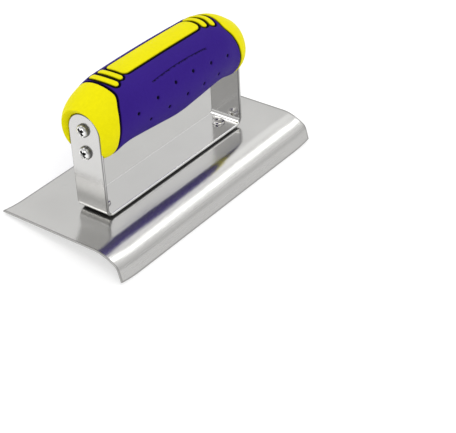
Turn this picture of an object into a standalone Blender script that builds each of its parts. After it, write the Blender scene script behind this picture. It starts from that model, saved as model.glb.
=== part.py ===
"""Concrete edger: a bent steel blade, a U-shaped riveted strap and a moulded handle in two colours.

The tool is laid out in its own level frame: X runs along the blade, Y across it from the lip (-Y) to the
back edge (+Y), and Z up from the blade's top face. An empty then stands the whole tool on the ground as it
rests when it is put down, on the lower edge of its lip and on the blade's back edge.
"""
import math

import bmesh
import bpy
from mathutils import Matrix, Vector

MM = 0.001
GAP = 0.3 * MM  # clearance between pieces that touch

# Blade: flat deck, wide shoulder, tight nose, straight lip.
BLADE_LENGTH = 152.4 * MM
BLADE_THICKNESS = 0.9 * MM
BLADE_BACK_Y = 37.8 * MM
DECK_FRONT_Y = -19.0 * MM
SHOULDER_RADIUS = 24.7 * MM
SHOULDER_ANGLE = math.radians(34.0)
NOSE_RADIUS = 5.0 * MM
LIP_ANGLE = math.radians(75.0)
LIP_DEPTH = 12.8 * MM
END_RISE = 1.3 * MM
END_RISE_LENGTH = 14.0 * MM

# Strap: one flat bar bent into a U.
STRAP_WIDTH = 19.0 * MM
STRAP_THICKNESS = 1.6 * MM
STRAP_HALF_SPAN = 53.5 * MM  # to a leg's outer face
STRAP_BEND_RADIUS = 4.6 * MM  # outside of the bend
STRAP_SEAT = 0.6 * MM  # the strap stands this far off the deck
LEG_TOP_Z = 55.0 * MM

# Rivets through the strap's base and the blade.
RIVET_X = 45.5 * MM
RIVET_HEAD_RADIUS = 3.4 * MM
RIVET_HEAD_HEIGHT = 1.4 * MM
RIVET_DIMPLE_RADIUS = 1.6 * MM
RIVET_DIMPLE_DEPTH = 0.35 * MM
RIVET_SHANK_RADIUS = 2.0 * MM

# Screws through the legs into the handle.
SCREW_HEIGHTS = {"upper": 46.8 * MM, "lower": 34.8 * MM}
SCREW_HEAD_RADIUS = 3.4 * MM
SCREW_HEAD_HEIGHT = 2.4 * MM
SCREW_SHANK_RADIUS = 2.1 * MM
SCREW_LENGTH = 6.4 * MM
SCREW_TIP_LENGTH = 1.5 * MM
SCREW_RECESS_WIDTH = 1.0 * MM
SCREW_RECESS_SPAN = 3.8 * MM
SCREW_RECESS_DEPTH = 1.3 * MM

# Handle: sections by distance from the middle, as top, bottom and half width before the ends are domed.
HANDLE_SECTIONS = (
    (0.0, 67.3, 29.6, 19.2),
    (14.0, 67.2, 30.7, 18.9),
    (26.0, 67.1, 31.6, 18.2),
    (36.0, 66.8, 31.9, 17.5),
    (44.0, 65.1, 30.3, 16.6),
    (52.0, 61.9, 27.5, 17.2),
)
HANDLE_HALF_LENGTH = 59.2 * MM
DOME_START = 43.0 * MM
DOME_POWER = 2.17
DOME_LIFT = 4.5 * MM
GRIP_WALL = 2.6 * MM
GROOVE_WIDTH = 1.2 * MM
GROOVE_DEPTH = 1.6 * MM

# Side view of the line between an end cap and the grip: distance from the middle, height.
CAP_EDGE = (
    (47.6, 20.0),
    (47.4, 37.0),
    (47.0, 44.0),
    (45.6, 52.0),
    (43.8, 57.6),
    (40.8, 62.4),
    (41.8, 66.0),
    (44.0, 75.0),
)

# Top panel and stripes.
PANEL_HALF_LENGTH = 29.0 * MM
PANEL_HALF_WIDTH = 6.2 * MM
PANEL_CORNER = 2.5 * MM
STRIPES = {"inner": (32.5 * MM, 7.4 * MM), "outer": (37.7 * MM, 8.9 * MM)}  # distance, half length
STRIPE_WIDTH = 3.0 * MM
STRIPE_BOW_RADIUS = 19.0 * MM

# Pocket in each end cap for the strap's leg.
POCKET_MARGIN = 0.4 * MM
POCKET_FLARE_START = 53.5 * MM
POCKET_FLARE_END = 61.5 * MM
POCKET_FLARE = 6.8 * MM

# Cutters.
TOP_OF_TRIM_CUTS = 80.0 * MM
BASE_OF_TRIM_CUTS = 50.0 * MM
RIGHT_THROUGH = 70.0 * MM  # half length of a cutter that runs through the whole tool
OVERRUN = 2.0 * MM  # spare material past a cut
FACING_X = (math.pi / 2, 0, math.pi / 2)  # an outline in X and Y stands up in Y and Z, facing X
FACING_Y = (math.pi / 2, 0, 0)  # an outline in X and Y stands up in X and Z, facing Y


def clear_scene():
    for item in list(bpy.data.objects):
        bpy.data.objects.remove(item, do_unlink=True)


def new_collection(name):
    group = bpy.data.collections.new(name)
    bpy.context.scene.collection.children.link(group)
    return group


def make_material(name, colour, roughness, metallic):
    material = bpy.data.materials.new(name)
    material.use_nodes = True
    shader = material.node_tree.nodes["Principled BSDF"]
    shader.inputs["Base Color"].default_value = (*colour, 1.0)
    shader.inputs["Roughness"].default_value = roughness
    shader.inputs["Metallic"].default_value = metallic
    return material


def add_object(name, mesh, group, frame, location=(0, 0, 0), rotation=(0, 0, 0)):
    item = bpy.data.objects.new(name, mesh)
    item.location = location
    item.rotation_euler = rotation
    item.parent = frame
    group.objects.link(item)
    return item


def add_cutter(name, mesh, frame, location=(0, 0, 0), rotation=(0, 0, 0)):
    item = add_object(name, mesh, bpy.data.collections["cutters"], frame, location, rotation)
    item.hide_render = True
    item.display_type = "WIRE"
    return item


def mesh_from(name, bm):
    mesh = bpy.data.meshes.new(name)
    bm.to_mesh(mesh)
    bm.free()
    return mesh


def boolean(item, cutter, operation="DIFFERENCE"):
    modifier = item.modifiers.new(cutter.name, "BOOLEAN")
    modifier.object = cutter
    modifier.operation = operation
    modifier.solver = "EXACT"


def evaluated_mesh(item):
    """The mesh of an object with its modifiers applied, for sharing or for cutting."""
    bpy.context.view_layer.update()
    return bpy.data.meshes.new_from_object(item.evaluated_get(bpy.context.evaluated_depsgraph_get()))


def shade_round(item, material, angle=35.0):
    item.data.materials.clear()
    item.data.materials.append(material)
    item.data.shade_smooth()
    item.data.set_sharp_from_angle(angle=math.radians(angle))


def arc(centre, radius, start, end, steps):
    """Points along a round stretch, from one angle to another, both ends included."""
    return [
        (
            centre[0] + radius * math.cos(start + (end - start) * step / steps),
            centre[1] + radius * math.sin(start + (end - start) * step / steps),
        )
        for step in range(steps + 1)
    ]


def plate_mesh(name, outline, low, high):
    """A flat outline in X and Y, given a thickness from low to high along Z."""
    curve = bpy.data.curves.new(name, "CURVE")
    curve.dimensions = "2D"
    curve.fill_mode = "BOTH"
    curve.extrude = (high - low) / 2
    spline = curve.splines.new("POLY")
    spline.points.add(len(outline) - 1)
    for point, (x, y) in zip(spline.points, outline):
        point.co = (x, y, 0, 1)
    spline.use_cyclic_u = True
    holder = bpy.data.objects.new(name, curve)
    bpy.context.scene.collection.objects.link(holder)
    mesh = evaluated_mesh(holder)
    bpy.data.objects.remove(holder)
    bm = bmesh.new()
    bm.from_mesh(mesh)
    bmesh.ops.remove_doubles(bm, verts=bm.verts, dist=0.00001)
    bmesh.ops.translate(bm, verts=bm.verts, vec=(0, 0, (low + high) / 2))
    bmesh.ops.recalc_face_normals(bm, faces=bm.faces)
    return mesh_from(name, bm)


def cylinder_mesh(name, radius, low, high, segments=24):
    bm = bmesh.new()
    bmesh.ops.create_cone(
        bm, cap_ends=True, segments=segments, radius1=radius, radius2=radius, depth=high - low
    )
    bmesh.ops.translate(bm, verts=bm.verts, vec=(0, 0, (low + high) / 2))
    return mesh_from(name, bm)


def turned_mesh(name, profile, segments):
    """A solid of revolution about Z from a profile of radius and height, run from its top to its bottom."""
    bm = bmesh.new()
    points = [bm.verts.new((radius, 0, height)) for radius, height in profile]
    for upper, lower in zip(points, points[1:]):
        bm.edges.new((upper, lower))
    holder = bpy.data.objects.new(name, mesh_from(name, bm))
    bpy.context.scene.collection.objects.link(holder)
    screw = holder.modifiers.new("turn", "SCREW")
    screw.steps = segments
    screw.render_steps = segments
    screw.use_merge_vertices = True
    screw.merge_threshold = 0.00001
    mesh = evaluated_mesh(holder)
    bpy.data.objects.remove(holder)
    return mesh


# Blade


def blade_profile():
    """Across the blade's top face, from the back edge over the shoulder and nose to the tip of the lip."""
    points = [(BLADE_BACK_Y, 0.0), (BLADE_BACK_Y / 2, 0.0)]
    half_turn = math.pi / 2
    shoulder_centre = (DECK_FRONT_Y, -SHOULDER_RADIUS)
    shoulder = arc(shoulder_centre, SHOULDER_RADIUS, half_turn, half_turn + SHOULDER_ANGLE, 7)
    reach = SHOULDER_RADIUS - NOSE_RADIUS
    nose_centre = (
        shoulder_centre[0] - reach * math.sin(SHOULDER_ANGLE),
        shoulder_centre[1] + reach * math.cos(SHOULDER_ANGLE),
    )
    nose = arc(nose_centre, NOSE_RADIUS, half_turn + SHOULDER_ANGLE, half_turn + LIP_ANGLE, 5)
    drop = LIP_DEPTH + nose[-1][1]
    tip = (nose[-1][0] - drop / math.tan(LIP_ANGLE), -LIP_DEPTH)
    return points + shoulder + nose[1:] + [tip]


def blade_stations():
    """Places along the blade, close together where the ends turn up."""
    half = BLADE_LENGTH / 2
    end = [half - END_RISE_LENGTH * step / 4 for step in range(5)]
    return sorted([-place for place in end] + end)


def end_rise(x):
    beyond = max(0.0, abs(x) - (BLADE_LENGTH / 2 - END_RISE_LENGTH))
    return END_RISE * (beyond / END_RISE_LENGTH) ** 2


def make_blade(group, frame, material):
    profile = blade_profile()
    stations = blade_stations()
    columns = len(stations) - 1
    rows = len(profile) - 1
    bm = bmesh.new()
    bmesh.ops.create_grid(bm, x_segments=columns, y_segments=rows, size=1)
    for vertex in bm.verts:
        x = stations[round((vertex.co.x + 1) / 2 * columns)]
        y, z = profile[round((1 - vertex.co.y) / 2 * rows)]
        vertex.co = (x, y, z + end_rise(x))
    blade = add_object("blade", mesh_from("blade", bm), group, frame)
    sheet = blade.modifiers.new("sheet", "SOLIDIFY")
    sheet.thickness = BLADE_THICKNESS
    sheet.offset = -1.0
    sheet.use_even_offset = True
    for cutter in rivet_hole_cutters(frame):
        boolean(blade, cutter)
    shade_round(blade, material)
    return blade


# Strap and its rivets


def leg_outline(margin, bottom):
    """The round-topped outline of a leg, in Y and Z, grown by a margin."""
    radius = STRAP_WIDTH / 2 + margin
    crown = arc((0.0, LEG_TOP_Z - STRAP_WIDTH / 2), radius, 0.0, math.pi, 16)
    return [(radius, bottom)] + crown + [(-radius, bottom)]


def rivet_hole_cutters(frame):
    if "cut_rivet_left" in bpy.data.objects:
        return [bpy.data.objects["cut_rivet_left"], bpy.data.objects["cut_rivet_right"]]
    low = -BLADE_THICKNESS - OVERRUN
    high = STRAP_SEAT + STRAP_THICKNESS + OVERRUN
    mesh = cylinder_mesh("rivet_hole", RIVET_SHANK_RADIUS + GAP, low, high)
    return [
        add_cutter(f"cut_rivet_{side}", mesh, frame, (place, 0, 0))
        for side, place in (("left", -RIVET_X), ("right", RIVET_X))
    ]


def make_bracket(group, frame, material):
    low = STRAP_SEAT
    corner = STRAP_BEND_RADIUS
    half = STRAP_HALF_SPAN
    right = arc((half - corner, low + corner), corner, -math.pi / 2, 0.0, 6) + [(half, LEG_TOP_Z + OVERRUN)]
    path = [(-x, z) for x, z in reversed(right)] + right
    spare = STRAP_WIDTH / 2 + OVERRUN
    bm = bmesh.new()
    front = [bm.verts.new((x, -spare, z)) for x, z in path]
    edges = [bm.edges.new(pair) for pair in zip(front, front[1:])]
    swept = bmesh.ops.extrude_edge_only(bm, edges=edges)["geom"]
    moved = [piece for piece in swept if isinstance(piece, bmesh.types.BMVert)]
    bmesh.ops.translate(bm, verts=moved, vec=(0, 2 * spare, 0))
    bmesh.ops.recalc_face_normals(bm, faces=bm.faces)
    if max(bm.faces, key=lambda face: face.calc_area()).normal.z < 0:
        bmesh.ops.reverse_faces(bm, faces=bm.faces)
    bracket = add_object("handle_bracket", mesh_from("handle_bracket", bm), group, frame)
    bar = bracket.modifiers.new("bar", "SOLIDIFY")
    bar.thickness = STRAP_THICKNESS
    bar.offset = 1.0
    bar.use_even_offset = True
    outline = plate_mesh("strap_outline", leg_outline(0.0, -OVERRUN), -RIGHT_THROUGH, RIGHT_THROUGH)
    boolean(bracket, add_cutter("cut_strap_outline", outline, frame, (0, 0, 0), FACING_X), "INTERSECT")
    for cutter in rivet_hole_cutters(frame):
        boolean(bracket, cutter)
    hole = cylinder_mesh("leg_hole", SCREW_SHANK_RADIUS + GAP, -RIGHT_THROUGH, RIGHT_THROUGH)
    for level, height in SCREW_HEIGHTS.items():
        boolean(bracket, add_cutter(f"cut_leg_hole_{level}", hole, frame, (0, 0, height), FACING_X))
    shade_round(bracket, material)
    return bracket


def make_rivets(group, frame, material):
    seat = STRAP_SEAT + STRAP_THICKNESS + GAP
    head = []
    for step in range(5):
        share = step / 4
        radius = RIVET_DIMPLE_RADIUS + (RIVET_HEAD_RADIUS - RIVET_DIMPLE_RADIUS) * share
        head.append((radius, seat + RIVET_HEAD_HEIGHT * math.sqrt(1 - 0.85 * share**2)))
    dimple = [(0.0, head[0][1] - RIVET_DIMPLE_DEPTH)]
    under = [(RIVET_HEAD_RADIUS, seat), (RIVET_SHANK_RADIUS, seat)]
    foot = [(RIVET_SHANK_RADIUS, -BLADE_THICKNESS), (0.0, -BLADE_THICKNESS)]
    mesh = turned_mesh("rivet", dimple + head + under + foot, 24)
    for side, place in (("left", -RIVET_X), ("right", RIVET_X)):
        rivet = add_object(f"rivet_{side}", mesh, group, frame, (place, 0, 0))
        shade_round(rivet, material)


# Screws


def screw_mesh():
    """A pan-head screw with a cross recess, its head on top and the underside of its head at height zero."""
    crown = SCREW_HEAD_HEIGHT
    head = [
        (0.0, crown),
        (0.45 * SCREW_HEAD_RADIUS, 0.97 * crown),
        (0.75 * SCREW_HEAD_RADIUS, 0.84 * crown),
        (0.93 * SCREW_HEAD_RADIUS, 0.58 * crown),
        (SCREW_HEAD_RADIUS, 0.25 * crown),
        (SCREW_HEAD_RADIUS, 0.0),
    ]
    shoulder = SCREW_TIP_LENGTH - SCREW_LENGTH
    shank = [(SCREW_SHANK_RADIUS, 0.0), (SCREW_SHANK_RADIUS, shoulder), (0.0, -SCREW_LENGTH)]
    solid = bpy.data.objects.new("screw_blank", turned_mesh("screw_blank", head + shank, 24))
    bpy.context.scene.collection.objects.link(solid)
    bm = bmesh.new()
    for wide, deep in ((SCREW_RECESS_SPAN, SCREW_RECESS_WIDTH), (SCREW_RECESS_WIDTH, SCREW_RECESS_SPAN)):
        size = Matrix.Diagonal((wide, deep, 2 * SCREW_RECESS_DEPTH, 1.0))
        bmesh.ops.create_cube(bm, size=1.0, matrix=Matrix.Translation((0, 0, crown)) @ size)
    cross = bpy.data.objects.new("screw_recess", mesh_from("screw_recess", bm))
    bpy.context.scene.collection.objects.link(cross)
    boolean(solid, cross)
    solid.modifiers[-1].use_self = True
    mesh = evaluated_mesh(solid)
    bpy.data.objects.remove(cross)
    bpy.data.objects.remove(solid)
    return mesh


def make_screws(group, frame, material):
    mesh = screw_mesh()
    seat = STRAP_HALF_SPAN + GAP
    for side, sign in (("left", -1), ("right", 1)):
        for level, height in SCREW_HEIGHTS.items():
            name = f"handle_screw_{side}_{level}"
            turn = (0, sign * math.pi / 2, 0)
            screw = add_object(name, mesh, group, frame, (sign * seat, 0, height), turn)
            shade_round(screw, material)


# Handle


def section_at(distance):
    """Top, bottom and half width of the handle at a distance from its middle, along a smooth curve."""
    rows = [(-HANDLE_SECTIONS[1][0], *HANDLE_SECTIONS[1][1:])] + list(HANDLE_SECTIONS)
    last, before = HANDLE_SECTIONS[-1], HANDLE_SECTIONS[-2]
    rows.append(tuple(2 * a - b for a, b in zip(last, before)))
    place = min(abs(distance) / MM, last[0] + 2.0)
    index = max(i for i in range(1, len(rows) - 2) if rows[i][0] <= place)
    start, end = rows[index], rows[index + 1]
    span = end[0] - start[0]
    t = (place - start[0]) / span
    values = []
    for column in (1, 2, 3):
        leave = (end[column] - rows[index - 1][column]) / (end[0] - rows[index - 1][0]) * span
        arrive = (rows[index + 2][column] - start[column]) / (rows[index + 2][0] - start[0]) * span
        values.append(
            (2 * t**3 - 3 * t**2 + 1) * start[column]
            + (t**3 - 2 * t**2 + t) * leave
            + (3 * t**2 - 2 * t**3) * end[column]
            + (t**3 - t**2) * arrive
        )
    return [value * MM for value in values]


def handle_mesh(name, inset, around=36, along=34):
    """The handle's outer form, or the same form drawn in by an inset: a ball whose rings become its sections."""
    half_length = HANDLE_HALF_LENGTH - inset
    bm = bmesh.new()
    bmesh.ops.create_uvsphere(bm, u_segments=around, v_segments=along, radius=1)
    for vertex in bm.verts:
        latitude = math.acos(max(-1.0, min(1.0, vertex.co.z)))
        share = 1 - 2 * latitude / math.pi
        x = half_length * math.copysign(math.sin(abs(share) ** 0.85 * math.pi / 2), share)
        top, bottom, half_width = section_at(x)
        t = min(1.0, max(0.0, (abs(x) - DOME_START) / (half_length - DOME_START)))
        dome = (1 - t**DOME_POWER) ** (1 / DOME_POWER)
        angle = math.atan2(vertex.co.y, vertex.co.x)
        middle = (top + bottom) / 2 + DOME_LIFT * t**2
        y = (half_width - inset) * dome * math.cos(angle)
        z = middle + ((top - bottom) / 2 - inset) * dome * math.sin(angle)
        vertex.co = (x, y, z)
    return mesh_from(name, bm)


def grip_zone_mesh(name, margin):
    """The middle of the handle between its end caps, drawn in from them by a margin."""
    side = [(x * MM - margin, z * MM) for x, z in CAP_EDGE]
    outline = side + [(-x, z) for x, z in reversed(side)]
    return plate_mesh(name, outline, -30 * MM, 30 * MM)


def panel_outline(margin):
    """The long panel on top: a rectangle with round corners."""
    corner = PANEL_CORNER + margin
    x = PANEL_HALF_LENGTH + margin - corner
    y = PANEL_HALF_WIDTH + margin - corner
    quarter = math.pi / 2
    outline = []
    for index, (side_x, side_y) in enumerate(((x, y), (-x, y), (-x, -y), (x, -y))):
        outline += arc((side_x, side_y), corner, index * quarter, (index + 1) * quarter, 4)
    return outline


def stripe_outline(sign, distance, half_length, margin):
    """A round-ended stripe across the top, bowed so that its middle lies farthest from the handle's middle."""
    half = STRIPE_WIDTH / 2
    sweep = (half_length - half) / STRIPE_BOW_RADIUS
    centre = (distance - STRIPE_BOW_RADIUS, 0.0)
    outer = arc(centre, STRIPE_BOW_RADIUS + half + margin, -sweep, sweep, 6)
    inner = arc(centre, STRIPE_BOW_RADIUS - half - margin, sweep, -sweep, 6)
    ends = []
    for turn in (sweep, -sweep):
        tip = (
            centre[0] + STRIPE_BOW_RADIUS * math.cos(turn),
            centre[1] + STRIPE_BOW_RADIUS * math.sin(turn),
        )
        start = turn if turn > 0 else turn + math.pi
        ends.append(arc(tip, half + margin, start, start + math.pi, 6)[1:-1])
    outline = outer + ends[0] + inner + ends[1]
    return [(sign * x, sign * y) for x, y in outline]


def trim_cutters(purpose, margin, frame):
    """Upright prisms through the outlines of the panel and the four stripes, grown by a margin."""
    outlines = {"panel": panel_outline(margin)}
    for side, sign in (("left", -1), ("right", 1)):
        for place, (distance, half_length) in STRIPES.items():
            outlines[f"stripe_{side}_{place}"] = stripe_outline(sign, distance, half_length, margin)
    return [
        add_cutter(
            f"{purpose}_{name}", plate_mesh(name, outline, BASE_OF_TRIM_CUTS, TOP_OF_TRIM_CUTS), frame
        )
        for name, outline in outlines.items()
    ]


def pocket_mesh(name):
    """The space for a leg in an end cap: its own outline, flared where it leaves the cap."""
    bottom = 12 * MM
    levels = (
        (STRAP_HALF_SPAN - STRAP_THICKNESS - GAP, POCKET_MARGIN),
        (POCKET_FLARE_START, POCKET_MARGIN),
        (POCKET_FLARE_END, POCKET_MARGIN + POCKET_FLARE),
        (POCKET_FLARE_END + 6 * MM, POCKET_MARGIN + POCKET_FLARE),
    )
    bm = bmesh.new()
    rings = [
        [bm.verts.new((x, y, z)) for y, z in leg_outline(margin, bottom)] for x, margin in levels
    ]
    for inner, outer in zip(rings, rings[1:]):
        bmesh.ops.bridge_loops(bm, edges=ring_edges(bm, inner) + ring_edges(bm, outer))
    for ring in (rings[0], rings[-1]):
        bm.faces.new(ring)
    bmesh.ops.recalc_face_normals(bm, faces=bm.faces)
    return mesh_from(name, bm)


def ring_edges(bm, ring):
    edges = []
    for first, second in zip(ring, ring[1:] + ring[:1]):
        edges.append(bm.edges.get((first, second)) or bm.edges.new((first, second)))
    return edges


def cut_pockets_and_holes(core, frame):
    pocket = pocket_mesh("pocket")
    seat = STRAP_HALF_SPAN + GAP
    hole = cylinder_mesh("screw_hole", SCREW_SHANK_RADIUS + GAP, -SCREW_LENGTH - GAP, 0.0)
    for side, sign in (("left", -1), ("right", 1)):
        turn = (0, 0, math.pi if sign < 0 else 0)
        boolean(core, add_cutter(f"cut_pocket_{side}", pocket, frame, (0, 0, 0), turn))
        for level, height in SCREW_HEIGHTS.items():
            name = f"cut_screw_{side}_{level}"
            place = (sign * seat, 0, height)
            boolean(core, add_cutter(name, hole, frame, place, (0, sign * math.pi / 2, 0)))


def make_core(group, frame, material):
    """The hard moulding: the whole handle less the sleeve that the soft grip fills."""
    core = add_object("handle_core", handle_mesh("handle_core", 0.0), group, frame)
    sleeve = add_cutter("cut_sleeve", grip_zone_mesh("sleeve", 0.0), frame, (0, 0, 0), FACING_Y)
    spine = add_cutter("cut_spine", handle_mesh("spine", GRIP_WALL + GAP), frame)
    boolean(sleeve, spine)
    for cutter in trim_cutters("keep", 0.0, frame):
        boolean(sleeve, cutter)
    boolean(core, sleeve)
    cut_pockets_and_holes(core, frame)
    shade_round(core, material)
    return core


def make_groove_cutter(frame):
    """The channel beside every edge of the hard trim, as deep as the groove and no deeper."""
    groove = add_cutter("cut_groove", grip_zone_mesh("groove", -1 * MM), frame, (0, 0, 0), FACING_Y)
    margin = grip_zone_mesh("groove_inner", GROOVE_WIDTH)
    inner = add_cutter("cut_groove_inner", margin, frame, (0, 0, 0), FACING_Y)
    for cutter in trim_cutters("groove", GROOVE_WIDTH, frame):
        boolean(inner, cutter)
    boolean(groove, inner)
    floor = add_cutter("cut_groove_floor", handle_mesh("groove_floor", GROOVE_DEPTH), frame)
    boolean(groove, floor)
    return groove


def make_grip(group, frame, material):
    """The soft overmould: a sleeve round the spine with a window for each piece of hard trim."""
    grip = add_object("handle_grip", handle_mesh("handle_grip", 0.0), group, frame)
    zone = add_cutter("cut_grip_zone", grip_zone_mesh("grip_zone", GAP), frame, (0, 0, 0), FACING_Y)
    boolean(grip, zone, "INTERSECT")
    boolean(grip, add_cutter("cut_grip_bore", handle_mesh("grip_bore", GRIP_WALL), frame))
    for cutter in trim_cutters("window", GAP, frame):
        boolean(grip, cutter)
    boolean(grip, make_groove_cutter(frame))
    shade_round(grip, material)
    return grip


# Standing on the ground


def place_on_ground(frame):
    """Tips the tool onto the lip's lower edge and the blade's back edge, centred over the origin."""
    lip_y, lip_z = blade_profile()[-1]
    inner_y = lip_y + BLADE_THICKNESS * math.sin(LIP_ANGLE)
    inner_z = lip_z - BLADE_THICKNESS * math.cos(LIP_ANGLE)
    tilt = math.atan2(-BLADE_THICKNESS - inner_z, BLADE_BACK_Y - inner_y)
    turn = Matrix.Rotation(-tilt, 4, "X")
    ground = (turn @ Vector((0, inner_y, inner_z))).z
    front = (turn @ Vector((0, lip_y, lip_z))).y
    back = (turn @ Vector((0, BLADE_BACK_Y, END_RISE))).y
    frame.rotation_euler = (-tilt, 0, 0)
    frame.location = (0, -(front + back) / 2, -ground)


def main():
    clear_scene()
    group = new_collection("concrete_edger")
    new_collection("cutters")
    frame = bpy.data.objects.new("tool_frame", None)
    group.objects.link(frame)
    steel = make_material("polished_stainless", (0.72, 0.71, 0.69), 0.22, 1.0)
    zinc = make_material("bright_plated_steel", (0.78, 0.78, 0.76), 0.18, 1.0)
    yellow = make_material("hard_yellow_plastic", (0.85, 0.76, 0.02), 0.42, 0.0)
    purple = make_material("soft_purple_plastic", (0.045, 0.016, 0.24), 0.55, 0.0)
    make_blade(group, frame, steel)
    make_bracket(group, frame, steel)
    make_rivets(group, frame, steel)
    make_screws(group, frame, zinc)
    make_core(group, frame, yellow)
    make_grip(group, frame, purple)
    place_on_ground(frame)
    bpy.context.view_layer.update()


main()
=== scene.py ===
"""The looks of a concrete edger: polished blade and strap, moulded handle, screws and rivets.

Sizes are in millimetres, in the tool's level frame: X along the blade, Y across it from the lip (-Y) to the
back edge (+Y), Z up from the blade's top face. STANDING takes that frame to the ground, in metres.
"""

import math

import bmesh
import bpy
import numpy as np
from mathutils import Matrix, Quaternion, Vector
from mathutils.geometry import delaunay_2d_cdt


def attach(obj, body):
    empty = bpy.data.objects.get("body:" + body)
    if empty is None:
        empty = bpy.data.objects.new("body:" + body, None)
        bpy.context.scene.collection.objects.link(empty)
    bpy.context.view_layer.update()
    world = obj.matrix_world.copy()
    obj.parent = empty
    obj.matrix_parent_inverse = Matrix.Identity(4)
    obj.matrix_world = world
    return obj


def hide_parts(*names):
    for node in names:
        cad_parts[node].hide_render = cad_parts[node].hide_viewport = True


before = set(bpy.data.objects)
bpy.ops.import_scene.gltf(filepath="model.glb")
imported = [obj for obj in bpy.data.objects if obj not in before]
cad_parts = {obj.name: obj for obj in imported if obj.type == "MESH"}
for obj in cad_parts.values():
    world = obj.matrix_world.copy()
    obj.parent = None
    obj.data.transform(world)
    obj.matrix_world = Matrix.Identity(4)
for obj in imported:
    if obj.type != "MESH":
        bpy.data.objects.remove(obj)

MM = 0.001
SIDES = (("left", -1), ("right", 1))

# Blade: flat deck, wide shoulder in two arcs, tight nose, straight lip.
BLADE_HALF = 76.2
BLADE_THICKNESS = 0.9
BLADE_BACK_Y = 37.8
DECK_FRONT_Y = -19.96
SHOULDER = ((18.7, math.radians(16.6)), (27.4, math.radians(34.0)))  # radius, slope at which it ends
NOSE_RADIUS = 5.0
LIP_ANGLE = math.radians(75.0)
LIP_DEPTH = 12.8
# painted shade: the nose and lip are painted darker, in place of the darker reflection they show
LIP_PAINTED_SHADE = 0.36
LIP_PAINTED_SHADE_FADE = 0.4  # slope, past the shoulder's end, over which the painted shade on the nose and lip sets in
EDGE_SHADE_BAND = (0.65, 1.0)  # the painted shade line just inside the sheet's edge: its width, and where it has faded out
EDGE_SHADE_MARK = 0.8
SHEARED_MARK = 0.6  # on the sheet's cut edge
SHEET_EDGE = 0.22  # how far the sheet's broken edges reach in
END_RISE = 1.3
END_RISE_LENGTH = 14.0

# Strap.
STRAP_HALF_WIDTH = 9.5
STRAP_THICKNESS = 1.6
STRAP_HALF_SPAN = 53.5
STRAP_BEND_RADIUS = 4.6
STRAP_EDGE = 0.4
LEG_TOP_Z = 55.0
SEAT_Z = 0.6
MIDDLE_RADIUS = STRAP_BEND_RADIUS - STRAP_THICKNESS / 2
STRAP_FLAT = STRAP_HALF_SPAN - STRAP_BEND_RADIUS  # from the strap's middle to where a bend starts
STRAP_BEND = MIDDLE_RADIUS * math.pi / 2
MIDDLE_Z = SEAT_Z + STRAP_THICKNESS / 2
CROWN_Z = LEG_TOP_Z - STRAP_HALF_WIDTH
# Painted light round the bar's section, from its inner face over the edge to its outer face.
# On the base a painted highlight (below zero) on its upper edge, and painted shade on its lower edge and
# underside, in the gap under it; on the legs dark lines of painted shade along both corners of the edge.
BASE_PAINTED_LIGHT = (0, -0.5, -1, -1, -1, 1, 1, 1, 1)
LEG_PAINTED_SHADE = (0, 0.6, 0.75, 0.6, 0, 0.5, 0.75, 0.3, 0)
BASE_PAINTED_LIGHT_END = STRAP_FLAT + STRAP_BEND * 0.35

# Rivets and screws: outlines from the top of the axis down, as radius and height over the head's seat,
# or over the blade for the tail.
STANDOFF = 0.02  # gap between a head and the face it sits on
RIVET_X = 45.5
RIVET_DIMPLE = ((0.0, 1.02), (0.5, 1.03), (0.95, 1.1), (1.3, 1.22), (1.6, 1.34), (1.9, 1.38), (2.3, 1.3))
RIVET_ROUND = (2.3, 0.2, 1.1)  # the head's outer curve: its centre and radius
RIVET_FOOT = ((3.4, 0.06), (3.32, 0.0), (2.0, 0.0))
RIVET_TAIL = ((2.0, 0.04 - BLADE_THICKNESS), (1.9, -BLADE_THICKNESS), (0.0, -BLADE_THICKNESS))
SCREW_HEIGHTS = {"upper": 46.8, "lower": 34.8}
SCREW_HEAD = ((0.0, 2.4), (1.0, 2.37), (1.8, 2.22), (2.45, 1.95), (2.95, 1.55), (3.25, 1.05), (3.38, 0.6))
SCREW_FOOT = ((3.4, 0.2), (3.3, 0.02), (2.1, 0.02), (2.1, -4.9), (0.0, -6.4))
SCREW_SHADE = 0.8  # painted shade on the head's side
SCREW_SHADE_START = 2.6
SCREW_SHADE_FADE = 0.7
RECESS_TOP = (2.75, 0.85, 3.4)  # half length, half width and height of a recess arm
RECESS_FLOOR = (1.5, 0.62, 0.9)
RECESS_TURN = math.radians(38)

# Handle: sections by distance from the middle, as top, bottom and half width before the ends are domed.
HANDLE_SECTIONS = (
    (0.0, 67.3, 29.6, 19.2),
    (14.0, 67.2, 30.7, 18.9),
    (26.0, 67.1, 31.6, 18.2),
    (36.0, 66.8, 31.9, 17.5),
    (44.0, 65.1, 30.3, 16.6),
    (52.0, 61.9, 27.5, 17.2),
)
HANDLE_HALF_LENGTH = 59.2
DOME_START = 43.0
DOME_POWER = 2.17
DOME_LIFT = 4.5

# Side view of the line between an end cap and the grip, as x and z.
CAP_EDGE = (
    (47.6, 20.0), (47.4, 37.0), (47.0, 44.0), (45.6, 52.0),
    (43.8, 57.6), (40.8, 62.4), (41.8, 66.0), (44.0, 75.0),
)

# Top panel and stripes.
PANEL_HALF_LENGTH = 29.0
PANEL_HALF_WIDTH = 6.3
TRIM_SHIFT = 0.6
PANEL_CORNER = 2.5
STRIPES = ((32.5, 7.5), (37.7, 9.0))  # distance from the middle and half length
STRIPE_WIDTH = 3.0
STRIPE_BOW_RADIUS = 19.0

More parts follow.
